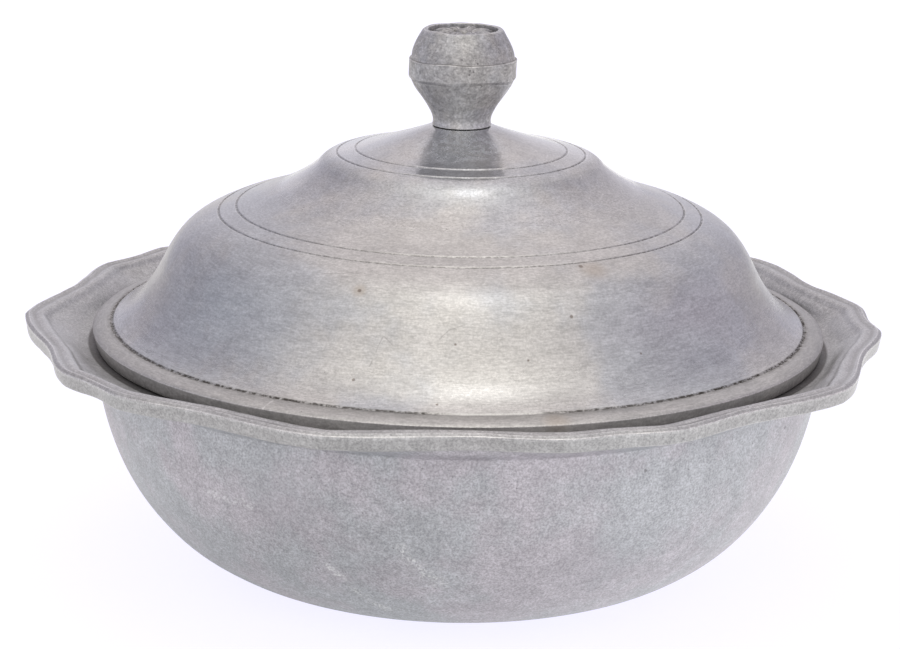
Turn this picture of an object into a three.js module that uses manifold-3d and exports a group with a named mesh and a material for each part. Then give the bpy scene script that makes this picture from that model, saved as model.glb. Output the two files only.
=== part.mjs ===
// Covered vegetable bowl: a cast bowl with a five-pointed rim, and a domed lid with a screwed-on knob.
// Millimetres, +Z up. The origin is the middle of the flat base, and one point of the rim lies along -X.
import * as THREE from 'three';
import { mergeVertices } from 'three/addons/utils/BufferGeometryUtils.js';
import Module from 'manifold-3d';

// Clearances and fineness
const SEAT_GAP = 0.3;
const CUT_OVERRUN = 1;
const CURVE_STEPS = 5;
const WALL_STEPS = 4;
const SHORT_STEPS = 2;
const RIM_LOBES = 5;
const STEPS_PER_LOBE = 14;
const LID_SEGMENTS = 60;
const KNOB_SEGMENTS = 36;
const SCREW_SEGMENTS = 24;

// Ledge inside the rim that the lid rests on
const SEAT_HEIGHT = 77;
const SEAT_RADIUS = 122.4;
const SEAT_CHAMFER = 0.6;

// Bowl body: its mouth lies a little inside and below the ledge's outer edge
const BOWL_WALL = 4.5;
const BASE_RADIUS = 54;
const MOUTH_INSET = 2;
const MOUTH_DROP = 4.5;
const BASE_HANDLE_SHARE = 0.67;
const MOUTH_HANDLE_SHARE = 0.45;
const MOUTH_LEAN_SHARE = 0.03;

// Rim: its outline has a long point, a hollow, a low shoulder and a shallow notch in each half lobe
const RIM_RISE = 7.2;
const RIM_REACH = 20.4;
const RIM_EDGE = 5.2;
const RIM_UNDERCUT = 0.8;
const HOLLOW_DEPTH = 6.8;
const SHOULDER_DEPTH = 1.8;
const NOTCH_DEPTH = 3.2;
const HOLLOW_ANGLE_SHARE = 0.48;
const SHOULDER_ANGLE_SHARE = 0.83;
const MOULDING_WIDTH = 7.3;
// Each row: how far in from the edge, of the moulding's width, and how far down, of the rim's edge
const MOULDING_SHARES = [
  [0, 0],
  [0.34, -0.05],
  [0.44, 0.14],
  [0.58, 0.02],
  [0.8, 0.06],
  [1, 0.26],
];
const COVE_PULL_SHARE = 0.36;
const COVE_DROP_SHARE = 0.1;
const UNDERSIDE_PULL_SHARE = 0.06;
const UNDERSIDE_DROP_SHARE = 0.34;

// Lid: a dome with a flat flange round it, which drops into the rim with a little play
const LID_HEIGHT = 71.5;
const LID_WALL = 3.2;
const LID_PLAY = 1;
const LID_EDGE_HEIGHT = 4.7;
const LID_EDGE_UNDERCUT = 1.1;
const FLANGE_WIDTH = 9.4;
const NECK_LEDGE = 0.8;
// Corners of its upper face, from the top down: shares of its radius and of its height
const CROWN_GROOVE_SHARES = [[0.287, 0.892], [0.337, 0.873]];
const SHOULDER_SHARES = [0.367, 0.857];
const DOME_GROOVE_SHARES = [[0.609, 0.625], [0.657, 0.599]];
const FLANK_SHARES = [0.815, 0.34];
const FLANGE_GROOVE_SHARES = [0.947, 0.095];
const GROOVE_WIDTH = 1.1;
const GROOVE_DEPTH = 0.5;
// Curve handles: how far along the run from one end, and how far down the fall
const CROWN_BEND_SHARES = [0.42, 0.5];
const LIP_BEND_SHARES = [0.6, 0.25];
const COVE_BEND_SHARES = [0.24, 0.47, 0.72, 0.83];
const DOME_BEND_SHARES = [0.53, 0.21, 0.73, 0.42];
const FLARE_BEND_SHARES = [0.21, 0.39, 0.55, 0.8];
const FLANGE_BEND_SHARES = [0.8, 0.3];

// Screw that holds the knob, its washer, and the boss they pull against
const SCREW_RADIUS = 2.5;
const SCREW_REACH = 11;
const SCREW_TIP_CHAMFER = 0.6;
const SCREW_HEAD_RADIUS = 4.8;
const SCREW_HEAD_HEIGHT = 3.2;
const SCREW_HEAD_ROUND = 1.2;
const SCREW_CLEARANCE = 0.3;
const SLOT_WIDTH = 1.2;
const SLOT_DEPTH = 1.4;
const WASHER_RADIUS = 7;
const WASHER_THICKNESS = 1.2;
const BOSS_RADIUS = 8.4;
const BOSS_THICKNESS = 3.6;

// Knob: radii, and heights above its foot
const KNOB_HEIGHT = 31.6;
const KNOB_FOOT_RADIUS = 9.6;
const KNOB_WAIST_RADIUS = 9.3;
const KNOB_WAIST_HEIGHT = 3.2;
const BAND_RADIUS = 17.8;
const BAND_STEP = 0.9;
const BAND_BOTTOM = 15;
const BAND_HEIGHT = 7;
const BAND_ROUND = 0.5;
const KNOB_LIP_RADIUS = 12.9;
const KNOB_LIP_WIDTH = 1.4;
const KNOB_LIP_ROUND = 0.5;
const KNOB_DISH_DEPTH = 1.5;
const KNOB_BORE_END_GAP = 1;
const CUP_BEND_SHARES = [0.1, 0.32, 0.72, 0.62];
const CAP_BEND_SHARES = [0.02, 0.45, 0.45, 0.82];

// Finishes
const BOWL_METAL = { color: 0xa9a6aa, roughness: 0.5, metalness: 1 };
const LID_METAL = { color: 0xb6b3b0, roughness: 0.38, metalness: 1 };
const KNOB_METAL = { color: 0xa3a1a1, roughness: 0.46, metalness: 1 };
const FASTENER_METAL = { color: 0x9b9a98, roughness: 0.35, metalness: 1 };

const LOBE_ANGLE = (2 * Math.PI) / RIM_LOBES;
const RIM_HEIGHT = SEAT_HEIGHT + RIM_RISE;
const TIP_RADIUS = SEAT_RADIUS + RIM_REACH;
const LID_RADIUS = SEAT_RADIUS - LID_PLAY;
const FLANGE_BORE_RADIUS = LID_RADIUS - FLANGE_WIDTH;
const BORE_RADIUS = SCREW_RADIUS + SCREW_CLEARANCE;

// A point part of the way from one corner to the other, by its share of the run and of the rise
function between(from, to, runShare, riseShare) {
  const x = THREE.MathUtils.lerp(from.x, to.x, runShare);
  const y = THREE.MathUtils.lerp(from.y, to.y, riseShare);
  return new THREE.Vector2(x, y);
}

// One bend, or two with four shares, from the path's last point to a new one
function bendTo(path, to, shares) {
  const from = path.currentPoint.clone();
  const first = between(from, to, shares[0], shares[1]);
  if (shares.length === 2) {
    path.quadraticCurveTo(first.x, first.y, to.x, to.y);
    return;
  }
  const second = between(from, to, shares[2], shares[3]);
  path.bezierCurveTo(first.x, first.y, second.x, second.y, to.x, to.y);
}

// The same line, a wall's thickness to its right as it runs
function offsetLine(points, distance) {
  return points.map((point, i) => {
    const before = points[Math.max(i - 1, 0)];
    const after = points[Math.min(i + 1, points.length - 1)];
    const along = after.clone().sub(before).normalize();
    return new THREE.Vector2(point.x + along.y * distance, point.y - along.x * distance);
  });
}

// Keeps one vertex at each place, and drops the triangles that have no width
function weld(geometry) {
  geometry.deleteAttribute('normal');
  geometry.deleteAttribute('uv');
  const welded = mergeVertices(geometry);
  const corners = welded.index.array;
  const kept = [];
  for (let i = 0; i < corners.length; i += 3) {
    const [a, b, c] = corners.slice(i, i + 3);
    if (a !== b && b !== c && c !== a) kept.push(a, b, c);
  }
  welded.setIndex(kept);
  return welded;
}

// Turns a section, drawn as radius and height, about the Z axis
function turned(section, segments) {
  const geometry = new THREE.LatheGeometry(section, segments);
  const place = geometry.attributes.position;
  for (let i = 0; i < place.count; i += 1) {
    place.setXYZ(i, place.getX(i), -place.getZ(i), place.getY(i));
  }
  return weld(geometry);
}

const manifold = await Module();
manifold.setup();

function toSolid(geometry) {
  const vertProperties = new Float32Array(geometry.attributes.position.array);
  const triVerts = new Uint32Array(geometry.index.array);
  return new manifold.Manifold(new manifold.Mesh({ numProp: 3, vertProperties, triVerts }));
}

function toGeometry(solid) {
  const mesh = solid.getMesh();
  const geometry = new THREE.BufferGeometry();
  geometry.setAttribute('position', new THREE.BufferAttribute(mesh.vertProperties, 3));
  geometry.setIndex(new THREE.BufferAttribute(mesh.triVerts, 1));
  return geometry;
}

// How far the rim's edge lies inside its points, at an angle round the bowl
function rimDepth(angle) {
  const angleShares = [0, HOLLOW_ANGLE_SHARE, SHOULDER_ANGLE_SHARE, 1];
  const depths = [0, HOLLOW_DEPTH, SHOULDER_DEPTH, NOTCH_DEPTH];
  const lobes = (angle - Math.PI) / LOBE_ANGLE;
  const share = 2 * Math.abs(lobes - Math.round(lobes));
  const next = Math.max(1, angleShares.findIndex((turn) => share <= turn));
  const along = (share - angleShares[next - 1]) / (angleShares[next] - angleShares[next - 1]);
  const ease = (1 - Math.cos(Math.PI * along)) / 2;
  return THREE.MathUtils.lerp(depths[next - 1], depths[next], ease);
}

// The bowl is turned round at the radius of its points, and the rim is then drawn in between them
function drawInRim(geometry) {
  const place = geometry.attributes.position;
  for (let i = 0; i < place.count; i += 1) {
    const x = place.getX(i);
    const y = place.getY(i);
    const radius = Math.hypot(x, y);
    const pull = THREE.MathUtils.smoothstep(radius, SEAT_RADIUS, TIP_RADIUS - MOULDING_WIDTH);
    if (pull > 0) {
      const scale = 1 - (pull * rimDepth(Math.atan2(y, x))) / radius;
      place.setXY(i, x * scale, y * scale);
    }
  }
}

function makeBowl() {
  const mouth = new THREE.Vector2(SEAT_RADIUS - MOUTH_INSET, SEAT_HEIGHT - MOUTH_DROP);
  const seatEdge = new THREE.Vector2(SEAT_RADIUS, SEAT_HEIGHT);
  const lowerArris = new THREE.Vector2(TIP_RADIUS - RIM_UNDERCUT, RIM_HEIGHT - RIM_EDGE);

  const body = new THREE.Path().moveTo(BASE_RADIUS, 0);
  bendTo(body, mouth, [BASE_HANDLE_SHARE, 0, 1 - MOUTH_LEAN_SHARE, 1 - MOUTH_HANDLE_SHARE]);
  const outside = body.getPoints(2 * CURVE_STEPS);

  const rim = new THREE.Path().moveTo(mouth.x, mouth.y);
  bendTo(rim, lowerArris, [UNDERSIDE_PULL_SHARE, UNDERSIDE_DROP_SHARE]);
  for (const [inShare, downShare] of MOULDING_SHARES) {
    rim.lineTo(TIP_RADIUS - inShare * MOULDING_WIDTH, RIM_HEIGHT - downShare * RIM_EDGE);
  }
  bendTo(rim, seatEdge, [1 - COVE_PULL_SHARE, 1 - COVE_DROP_SHARE]);

  const inside = offsetLine(body.getPoints(CURVE_STEPS + WALL_STEPS), -BOWL_WALL).reverse();
  const lipRadius = inside[0].x;
  const section = [new THREE.Vector2(0, 0)].concat(outside, rim.getPoints(WALL_STEPS).slice(1));
  section.push(new THREE.Vector2(lipRadius + SEAT_CHAMFER, SEAT_HEIGHT));
  section.push(new THREE.Vector2(lipRadius, SEAT_HEIGHT - SEAT_CHAMFER));
  section.push(...inside, new THREE.Vector2(0, BOWL_WALL));

  const geometry = turned(section, RIM_LOBES * STEPS_PER_LOBE);
  drawInRim(geometry);
  return geometry;
}

function onLid(shares) {
  return new THREE.Vector2(shares[0] * LID_RADIUS, shares[1] * LID_HEIGHT);
}

// The lid's upper face from the neck to the flange's edge, with or without its turned grooves
function lidFace(steps, grooved) {
  const path = new THREE.Path().moveTo(KNOB_FOOT_RADIUS + NECK_LEDGE, LID_HEIGHT);
  const crown = CROWN_GROOVE_SHARES.map(onLid);
  const dome = DOME_GROOVE_SHARES.map(onLid);
  const flange = [onLid(FLANGE_GROOVE_SHARES), new THREE.Vector2(LID_RADIUS, LID_EDGE_HEIGHT)];

  // A groove's two lips lie on the line between a pair of named points
  function groove(pair, at, shares) {
    const along = pair[1].clone().sub(pair[0]).normalize().multiplyScalar(GROOVE_WIDTH / 2);
    const near = pair[at].clone().sub(along);
    const far = pair[at].clone().add(along);
    if (shares) bendTo(path, near, shares);
    else path.lineTo(near.x, near.y);
    if (grooved) path.lineTo(pair[at].x, pair[at].y - GROOVE_DEPTH);
    path.lineTo(far.x, far.y);
  }

  groove(crown, 0, CROWN_BEND_SHARES);
  groove(crown, 1);
  bendTo(path, onLid(SHOULDER_SHARES), LIP_BEND_SHARES);
  groove(dome, 0, COVE_BEND_SHARES);
  groove(dome, 1);
  bendTo(path, onLid(FLANK_SHARES), DOME_BEND_SHARES);
  groove(flange, 0, FLARE_BEND_SHARES);
  bendTo(path, flange[1], FLANGE_BEND_SHARES);
  return path.getPoints(steps);
}

function makeLid() {
  const bossFace = LID_HEIGHT - BOSS_THICKNESS;
  const section = [new THREE.Vector2(BORE_RADIUS, LID_HEIGHT)].concat(lidFace(WALL_STEPS, true));
  section.push(new THREE.Vector2(LID_RADIUS - LID_EDGE_UNDERCUT, 0));
  section.push(new THREE.Vector2(FLANGE_BORE_RADIUS, 0));
  const inside = offsetLine(lidFace(SHORT_STEPS, false), LID_WALL).reverse();
  section.push(...inside.filter((p) => p.x < FLANGE_BORE_RADIUS && p.x > BOSS_RADIUS && p.y < bossFace));
  section.push(new THREE.Vector2(BOSS_RADIUS, bossFace), new THREE.Vector2(BORE_RADIUS, bossFace));
  section.push(section[0].clone());
  return turned(section.reverse(), LID_SEGMENTS);
}

function makeKnob() {
  const boreTop = SCREW_REACH + KNOB_BORE_END_GAP;
  const bandTop = BAND_BOTTOM + BAND_HEIGHT;
  const innerRadius = BAND_RADIUS - BAND_STEP;
  const dishRadius = KNOB_LIP_RADIUS - KNOB_LIP_WIDTH;
  const path = new THREE.Path().moveTo(0, boreTop);
  path.lineTo(BORE_RADIUS, boreTop);
  path.lineTo(BORE_RADIUS, 0);
  path.lineTo(KNOB_FOOT_RADIUS, 0);
  path.lineTo(KNOB_WAIST_RADIUS, KNOB_WAIST_HEIGHT);
  bendTo(path, new THREE.Vector2(innerRadius, BAND_BOTTOM), CUP_BEND_SHARES);
  path.lineTo(BAND_RADIUS - BAND_ROUND, BAND_BOTTOM + BAND_ROUND);
  path.lineTo(BAND_RADIUS, BAND_BOTTOM + 2 * BAND_ROUND);
  path.lineTo(BAND_RADIUS, bandTop);
  path.lineTo(innerRadius, bandTop + BAND_ROUND);
  bendTo(path, new THREE.Vector2(KNOB_LIP_RADIUS, KNOB_HEIGHT - KNOB_LIP_ROUND), CAP_BEND_SHARES);
  path.lineTo(KNOB_LIP_RADIUS - KNOB_LIP_ROUND, KNOB_HEIGHT);
  path.lineTo(dishRadius, KNOB_HEIGHT);
  path.lineTo(dishRadius, KNOB_HEIGHT - KNOB_DISH_DEPTH);
  path.lineTo(0, KNOB_HEIGHT - KNOB_DISH_DEPTH);
  return turned(path.getPoints(CURVE_STEPS), KNOB_SEGMENTS);
}

// The screw stands on its head: its heights are above the seat of the head
function makeScrew(shankLength) {
  const path = new THREE.Path().moveTo(0, -SCREW_HEAD_HEIGHT);
  path.lineTo(SCREW_HEAD_RADIUS - SCREW_HEAD_ROUND, -SCREW_HEAD_HEIGHT);
  path.lineTo(SCREW_HEAD_RADIUS, SCREW_HEAD_ROUND - SCREW_HEAD_HEIGHT);
  path.lineTo(SCREW_HEAD_RADIUS, 0);
  path.lineTo(SCREW_RADIUS, 0);
  path.lineTo(SCREW_RADIUS, shankLength - SCREW_TIP_CHAMFER);
  path.lineTo(SCREW_RADIUS - SCREW_TIP_CHAMFER, shankLength);
  path.lineTo(0, shankLength);
  const blank = toSolid(turned(path.getPoints(), SCREW_SEGMENTS));

  const slotLength = 2 * (SCREW_HEAD_RADIUS + CUT_OVERRUN);
  const slot = new THREE.BoxGeometry(slotLength, SLOT_WIDTH, SLOT_DEPTH + CUT_OVERRUN);
  slot.translate(0, 0, (SLOT_DEPTH - CUT_OVERRUN) / 2 - SCREW_HEAD_HEIGHT);
  return toGeometry(blank.subtract(toSolid(weld(slot))));
}

function makeWasher() {
  const section = [
    new THREE.Vector2(BORE_RADIUS, 0),
    new THREE.Vector2(WASHER_RADIUS, 0),
    new THREE.Vector2(WASHER_RADIUS, WASHER_THICKNESS),
    new THREE.Vector2(BORE_RADIUS, WASHER_THICKNESS),
    new THREE.Vector2(BORE_RADIUS, 0),
  ];
  return turned(section, SCREW_SEGMENTS);
}

const assembly = new THREE.Group();

function place(name, geometry, finish, height) {
  geometry.computeVertexNormals();
  const mesh = new THREE.Mesh(geometry, new THREE.MeshStandardMaterial(finish));
  mesh.name = name;
  mesh.position.z = height;
  assembly.add(mesh);
}

const lidHeight = SEAT_HEIGHT + SEAT_GAP;
const knobHeight = lidHeight + LID_HEIGHT + SEAT_GAP;
const washerHeight = lidHeight + LID_HEIGHT - BOSS_THICKNESS - SEAT_GAP - WASHER_THICKNESS;
const screwHeight = washerHeight - SEAT_GAP;

place('bowl', makeBowl(), BOWL_METAL, 0);
place('lid', makeLid(), LID_METAL, lidHeight);
place('knob', makeKnob(), KNOB_METAL, knobHeight);
place('knob_washer', makeWasher(), FASTENER_METAL, washerHeight);
place('knob_screw', makeScrew(knobHeight + SCREW_REACH - screwHeight), FASTENER_METAL, screwHeight);

export default assembly;
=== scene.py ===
"""Looks of a covered vegetable bowl: cast bowl, domed lid, turned knob, and the studio around them."""
import math

import bmesh
import bpy
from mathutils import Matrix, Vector, geometry, noise


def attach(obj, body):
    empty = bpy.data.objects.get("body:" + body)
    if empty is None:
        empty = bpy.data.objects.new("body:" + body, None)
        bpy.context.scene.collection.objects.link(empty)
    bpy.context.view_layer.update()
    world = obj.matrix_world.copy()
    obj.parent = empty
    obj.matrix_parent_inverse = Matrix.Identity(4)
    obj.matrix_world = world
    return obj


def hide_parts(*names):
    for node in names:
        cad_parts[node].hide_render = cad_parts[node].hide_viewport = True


bl_info = {
    "name": "Covered bowl",
    "version": (1, 0, 0),
    "blender": (4, 5, 0),
    "location": "3D View > Sidebar > Covered bowl",
    "description": "Builds a cast metal covered bowl with its finishes and a plain studio",
    "category": "Object",
}

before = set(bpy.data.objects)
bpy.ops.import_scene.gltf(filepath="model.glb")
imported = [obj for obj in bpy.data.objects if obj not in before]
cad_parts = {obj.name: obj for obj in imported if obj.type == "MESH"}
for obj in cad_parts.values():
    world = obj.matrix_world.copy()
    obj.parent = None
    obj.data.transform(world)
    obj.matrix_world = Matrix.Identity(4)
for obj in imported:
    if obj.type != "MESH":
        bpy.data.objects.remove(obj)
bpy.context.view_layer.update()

RIM_LOBES = 5

# How many steps each piece is turned in.
BOWL_STEPS = 300
LID_STEPS = 240
KNOB_STEPS = 160
# Points of the skin that lie closer than this are one point.
MERGE_DISTANCE = 1e-6

# Numbers kept on the vertices for the materials: dirt in hollows and painted shade at the lid's seam and on
# its flange's outer face, wear on ridges, and polish.
DIRT_AND_SHADE = "dirt"
WEAR = "wear"
POLISH = "polish"

# The moulded rim from its outer face inwards: how far in and how far down each corner lies, and how
# round it is, in metres. A nick, a narrow ridge, a groove and a broad soft ridge.
RIM_MOULDING = (
    (0.0, 0.0009, 0.0004), (0.0005, 0.0006, 0.0002), (0.0013, 0.0, 0.00035), (0.0029, 0.0009, 0.0008),
    (0.0046, 0.0003, 0.0007), (0.006, 0.0008, 0.0008), (0.0075, 0.0024, 0.0012),
)
# Where dirt lies in it: how far in, how far it spreads, and how thick it is.
RIM_GROOVES = ((0.0005, 0.0003, 0.15), (0.0029, 0.0008, 0.35))
# Where the point, the hollow, the shoulder and the notch lie along half a lobe of the rim. The last
# lies a little past the end, so that rounding can't miss it.
RIM_STOPS = (0.0, 0.48, 0.83, 1.0001)
# How much softer the rim's outline is at its outer face than along the inside of its moulding.
RIM_FACE_SOFTNESS = 0.75

# Handles of the curves in the sections, as shares of each curve's run and of its rise.
BODY_CURVE = (0.67, 0.0, 0.97, 0.55)
UNDER_RIM_CURVE = (0.06, 0.34)
RIM_COVE_CURVE = (0.64, 0.9)
CROWN_CURVE = (0.42, 0.5)
LID_SHOULDER_CURVE = (0.6, 0.25)
LID_COVE_CURVE = (0.2, 0.42, 0.72, 0.83)
FLANK_CURVE = (0.53, 0.21, 0.73, 0.42)
FLARE_CURVE = (0.21, 0.39, 0.55, 0.8)
FLANGE_CURVE = (0.8, 0.3)
KNOB_CUP_CURVE = (0.03, 0.3, 0.7, 0.62)
KNOB_CAP_CURVE = (0.1, 0.4, 0.74, 0.79)

# Rings on the lid's outer face, as shares of its radius and of its height.
CROWN_GROOVES = ((0.287, 0.892), (0.337, 0.873))
LID_SHOULDER = (0.384, 0.831)
DOME_GROOVES = ((0.609, 0.625), (0.657, 0.599))
LID_FLANK = (0.815, 0.34)
FLANGE_GROOVE = (0.947, 0.095)
# How thick the dirt lies in the lid's five grooves, from the top one down, and how far it spreads.
LID_GROOVE_DIRT = ((0.5, 0.0006), (0.6, 0.0006), (0.6, 0.0006), (0.65, 0.0006), (1.0, 0.001))
# How round a groove's edges and its bottom are.
GROOVE_EDGE = 0.0002
GROOVE_BOTTOM = 0.00015
# Where the lid is polished, by how far it is from the axis: where each polish starts, is full,
# starts to end and ends. The crown's polish starts at the axis.
CROWN_POLISH = (0.04, 0.046)
COVE_POLISH = (0.044, 0.048, 0.056, 0.064)
FLARE_POLISH = (0.1, 0.107, 0.113, 0.1145)
FLARE_POLISH_SHARE = 0.6

# The soft light all round: where it comes from, how narrow it is, and its colour.
AMBIENT = (0.497, 0.476, 0.552)
SOFT_LIGHTS = (
    ((-0.08, -0.64, 0.76), 2.3, (1.068, 1.032, 0.876)),
    ((0.07, -0.22, 0.97), 15.0, (0.386, 0.392, 0.361)),
    ((0.03, 0.56, 0.83), 6.4, (0.635, 0.578, 0.508)),
    ((-0.95, 0.19, 0.25), 22.0, (0.17, 0.21, 0.24)),
    ((0.99, 0.06, 0.09), 11.0, (0.36, 0.28, 0.29)),
    ((0.0, 0.998, 0.06), 14.0, (0.5, 0.5, 0.52)),
    ((0.62, 0.62, 0.45), 12.0, (0.13, 0.13, 0.13)),
)
WHITE = (1.0, 1.0, 1.0)
# How squarely a mirrored direction points to the back where the white backdrop starts and is full.
BACKDROP = (0.96, 0.995)
# The soft box: where it hangs, how large it is, and the place that it shines at.
KEY_PLACE = (0.1, -0.42, 1.43)
KEY_SIZE = (0.38, 0.34)
LAMP_AIM = (0.0, 0.0, 0.09)

# The floor as the metal sees it: its two greys, its glow from left to right as a place in metres
# and a brightness, and how far to the side that glow starts to fade and ends.
PAPER_GREYS = ((0.49, 0.49, 0.49), (0.51, 0.51, 0.51))
FLOOR_GLOW = ((-0.15, 0.63), (-0.08, 0.42), (0.14, 0.84))
FLOOR_FADE = (0.35, 0.9)
# The floor as the camera sees it: a grey that takes the shadow, and a glow that makes it white.
SEEN_GREY = (0.21, 0.21, 0.21)
SEEN_GLOW = (0.845, 0.835, 1.0)

# Marks of use, in metres. A spot is a place, how far it is full, and how far it reaches. A line is
# its two ends, and a scuff also has a width and a strength.
LID_DOTS = (
    ((-0.0339, -0.0844, 0.1138), 0.0003, 0.0009), ((-0.0052, -0.0991, 0.1011), 0.0002, 0.0005),
    ((-0.0356, -0.1004, 0.0903), 0.0003, 0.0007), ((0.0167, -0.1003, 0.0966), 0.0002, 0.0005),
    ((-0.0109, -0.111, 0.0859), 0.0002, 0.0006), ((0.0301, -0.0907, 0.1078), 0.0003, 0.0008),
    ((0.0518, -0.0882, 0.0957), 0.0002, 0.0005), ((0.0339, -0.0743, 0.1194), 0.0004, 0.001),
)
LID_HAIRLINES = (
    ((-0.0454, -0.0749, 0.1164), (-0.0377, -0.0768, 0.1175)),
    ((-0.0377, -0.0768, 0.1175), (-0.0299, -0.078, 0.1185)),
    ((-0.01, -0.0981, 0.1023), (-0.0068, -0.097, 0.1052)),
    ((-0.0068, -0.097, 0.1052), (-0.0028, -0.0965, 0.1063)),
    ((-0.0308, -0.0988, 0.094), (-0.0266, -0.0949, 0.1024)),
    ((-0.0266, -0.0949, 0.1024), (-0.024, -0.0968, 0.1001)),
)
LID_PALE_LINES = (
    ((-0.0626, -0.1036, 0.0822), (-0.0597, -0.1008, 0.0837)),
    ((-0.0038, -0.0229, 0.1444), (0.0057, -0.0252, 0.1436)),
)
LID_STAINS = (
    ((0.0242, -0.1172, 0.083), 0.001, 0.006), ((-0.0339, -0.0844, 0.1138), 0.0008, 0.0032),
    ((0.038, -0.075, 0.1185), 0.001, 0.007),
)
GROOVE_WORN_SPOT = ((0.006, -0.1147, 0.0837), 0.006, 0.022)
# The crown's pale rubbed patch, which also paints light into the knob's reflection there.
CROWN_RUBBED_LIT_SPOT = ((-0.001, -0.019, 0.1466), 0.008, 0.018)
LID_COOL_SPOTS = (
    ((0.0711, -0.0817, 0.0886), 0.004, 0.03), ((0.0543, -0.0935, 0.0887), 0.002, 0.02),
    ((-0.0783, -0.0632, 0.0985), 0.01, 0.05),
)
KNOB_WARM_SPOT = ((0.001, -0.0145, 0.1785), 0.001, 0.006)
# Not a mark of use: a darker patch that paints shade on the knob's front.
KNOB_FRONT_SHADE_SPOT = ((0.0, -0.016, 0.166), 0.006, 0.022)
BOWL_SCUFFS = (
    ((-0.0421, -0.0994, 0.0311), (-0.0245, -0.0899, 0.0137), 0.0026, 1.0),
    ((-0.0205, -0.1109, 0.0404), (-0.0165, -0.1086, 0.0345), 0.003, 0.8),
    ((-0.0165, -0.1086, 0.0345), (-0.0087, -0.1051, 0.0274), 0.0038, 0.7),
    ((-0.0797, -0.0845, 0.0501), (-0.0659, -0.0952, 0.0489), 0.0024, 0.6),
)
BOWL_DARK_CLOUDS = (((-0.0571, -0.1021, 0.0528), 0.002, 0.02), ((0.04, -0.102, 0.034), 0.002, 0.024))
BOWL_SPECKS = (((0.1008, -0.0644, 0.0652), 0.0003, 0.0009), ((0.0521, -0.1077, 0.0646), 0.0003, 0.0009))

# Colours of those marks.
DARK_CLOUD_COLOUR = (0.32, 0.32, 0.35)
BOWL_PIT_COLOUR = (0.14, 0.135, 0.14)
SCUFF_COLOUR = (0.72, 0.73, 0.74)
LID_COOL_COLOUR = (0.42, 0.445, 0.47)
RUBBED_LIT_COLOUR = (0.63, 0.66, 0.7)
LID_PIT_COLOUR = (0.16, 0.15, 0.15)
HAIRLINE_COLOUR = (0.2, 0.19, 0.19)
PALE_LINE_COLOUR = (0.75, 0.74, 0.74)
LID_STAIN_COLOUR = (0.36, 0.29, 0.22)
LID_DOT_COLOUR = (0.13, 0.1, 0.08)
KNOB_WARM_COLOUR = (0.45, 0.43, 0.38)
KNOB_FRONT_SHADE_COLOUR = (0.34, 0.335, 0.34)
RECESS_COLOUR = (0.25, 0.245, 0.25)
KNOB_PIT_COLOUR = (0.12, 0.115, 0.12)
STEEL_STAIN_COLOUR = (0.2, 0.18, 0.16)

# Where a finish changes, in metres: from where, and to where. Radius is from the axis, height from
# the base, and depth from the axis to the back.
# Painted light on the bowl's lower body, where it mirrors the floor near its foot:
FOOT_LIGHT_HEIGHT = (0.0, 0.04)
# Painted shade on the rim's outer face:
RIM_SHADE_RADIUS = (0.1345, 0.136)
RIM_SHADE_HEIGHT = (0.0825, 0.0832)
SEAT_SIDE_RADIUS = (0.123, 0.133)
FLANGE_RADIUS = (0.1142, 0.1152)
# Painted shade on the lid's flange, by depth:
FLANGE_SHADE_DEPTH = (-0.1, -0.02)
RECESS_RADIUS = (0.0108, 0.0118)
RECESS_HEIGHT = (0.177, 0.178)
# Painted light and shade on the knob, by height:
KNOB_LIGHT_SHADE_HEIGHT = (0.152, 0.178)


def length(name, value, description):
    """A size in metres that can be changed in the panel."""
    return bpy.props.FloatProperty(
        name=name, default=value, min=0.0, precision=4, unit="LENGTH", description=description
    )


def colour(name, value, description):
    """A colour, in linear red, green and blue."""
    return bpy.props.FloatVectorProperty(
        name=name, default=value, size=3, min=0.0, max=1.0, subtype="COLOR", description=description
    )


class BowlSizes(bpy.types.PropertyGroup):
    """Sizes of the bowl casting."""

    wall: length("Wall", 0.0045, "Thickness of the bowl's wall")
    base_radius: length("Base radius", 0.054, "Radius of the flat that it stands on")
    mouth_inset: length("Mouth inset", 0.002, "How far the body's mouth lies inside the ledge")
    mouth_drop: length("Mouth drop", 0.0057, "How far the body's mouth lies below the ledge")
    seat_radius: length("Ledge radius", 0.1224, "Outer radius of the ledge that the lid rests on")
    seat_height: length("Ledge height", 0.077, "Height of the ledge above the base")
    rim_reach: length("Rim reach", 0.0204, "How far the rim's points reach past the ledge")
    rim_rise: length("Rim rise", 0.0076, "How far the rim stands above the ledge")
    rim_edge: length("Rim edge", 0.0054, "Height of the rim's edge")
    rim_shift: length("Rim shift", 0.0012, "How far the hand-finished rim stands off centre to the left")
    rim_fullness: length("Rim fullness", 0.0019, "How much fuller the rim is at its front corners")
    rim_undercut: length("Rim undercut", 0.0008, "How far the outer face leans in at its foot")
    moulding: length("Moulding", 0.0075, "Width of the ridges along the rim's edge")
    hollow: length("Hollow", 0.0068, "How far the edge draws in between a point and its shoulder")
    shoulder: length("Shoulder", 0.0018, "How far the edge draws in at a shoulder")
    notch: length("Notch", 0.0032, "How far the edge draws in halfway between two points")


class LidSizes(bpy.types.PropertyGroup):
    """Sizes of the lid casting."""

    height: length("Height", 0.0715, "Height of the lid from its underside to the knob's seat")
    wall: length("Wall", 0.0032, "Thickness of the lid's wall")
    play: length("Play", 0.001, "Gap between the lid's edge and the cove round it")
    lift: length("Lift", 0.0003, "Gap between the lid's underside and the ledge")
    edge: length("Edge", 0.0047, "Height of the flange's outer face")
    undercut: length("Undercut", 0.0011, "How far the outer face leans in at its foot")
    flange: length("Flange", 0.0094, "Width of the flat underside")
    groove: length("Groove", 0.001, "Width of a turned groove")
    groove_depth: length("Groove depth", 0.00036, "Depth of a turned groove")
    boss_radius: length("Boss radius", 0.0084, "Radius of the boss under the knob")
    boss_depth: length("Boss depth", 0.0036, "Thickness of the lid at the boss")
    bore: length("Bore", 0.0028, "Radius of the hole for the knob's screw")


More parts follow.
